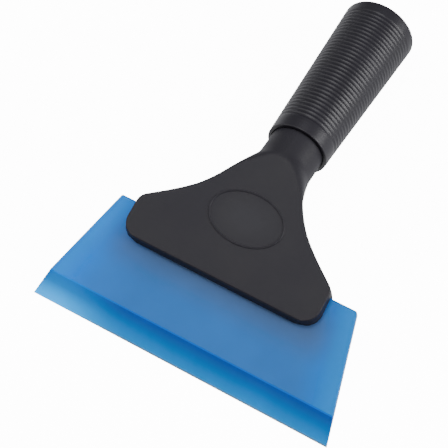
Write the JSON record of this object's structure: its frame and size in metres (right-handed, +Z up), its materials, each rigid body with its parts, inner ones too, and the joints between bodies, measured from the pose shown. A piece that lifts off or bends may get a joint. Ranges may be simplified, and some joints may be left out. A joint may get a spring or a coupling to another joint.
{
  "type": "squeegee applicator",
  "caption": "Hand squeegee applicator: a bevelled translucent blue blade clamped in a black fan-shaped two-part head, with a ribbed round grip that screws onto the neck.",
  "frame": {"origin": "centre of the bounding box's base: the surface that the tool lies on, front face up, resting on its working edge and on the rim of the butt", "axes": "+X along the blade, +Y from the working edge to the butt of the grip, +Z up"},
  "size_m": [0.15, 0.2004, 0.0395],
  "materials": {
    "head_plastic": "fine spark-textured moulded ABS, near black",
    "screw_steel": "bright zinc plate",
    "blade_polyurethane": "cast translucent blue polyurethane, smooth and glossy",
    "ring_acetal": "turned black acetal",
    "core_nylon": "moulded dark grey nylon",
    "grip_vinyl": "semi-gloss black vinyl with fine ribs",
    "plug_plastic": "moulded black ABS"
  },
  "bodies": {
    "head": {"front_shell": "head_plastic", "rear_shell": "head_plastic", "shell_screw_left": "screw_steel", "shell_screw_right": "screw_steel", "shell_screw_neck": "screw_steel"},
    "blade": {"blade": "blade_polyurethane"},
    "clamp_ring": {"clamp_ring": "ring_acetal"},
    "grip": {"grip_core": "core_nylon", "grip_sleeve": "grip_vinyl", "end_plug": "plug_plastic"}
  },
  "joints": [
    {"name": "blade_slide", "type": "slide", "parent": "head", "child": "blade", "axis": [1, 0, 0], "range_m": [-0.118, 0.118]},
    {"name": "ring_travel", "type": "slide", "parent": "head", "child": "clamp_ring", "axis": [0, 0.9978, -0.0669], "range_m": [0, 0.0201]},
    {"name": "grip_turn", "type": "hinge", "parent": "clamp_ring", "child": "grip", "pos_m": [-0.0022, 0.01321, 0.02428], "axis": [0, 0.9978, -0.0669], "range_deg": [0, 1440]}
  ],
  "couplings": [
    {"joint": "ring_travel", "follows": "grip_turn", "m_per_rad": 0.00079577}
  ]
}
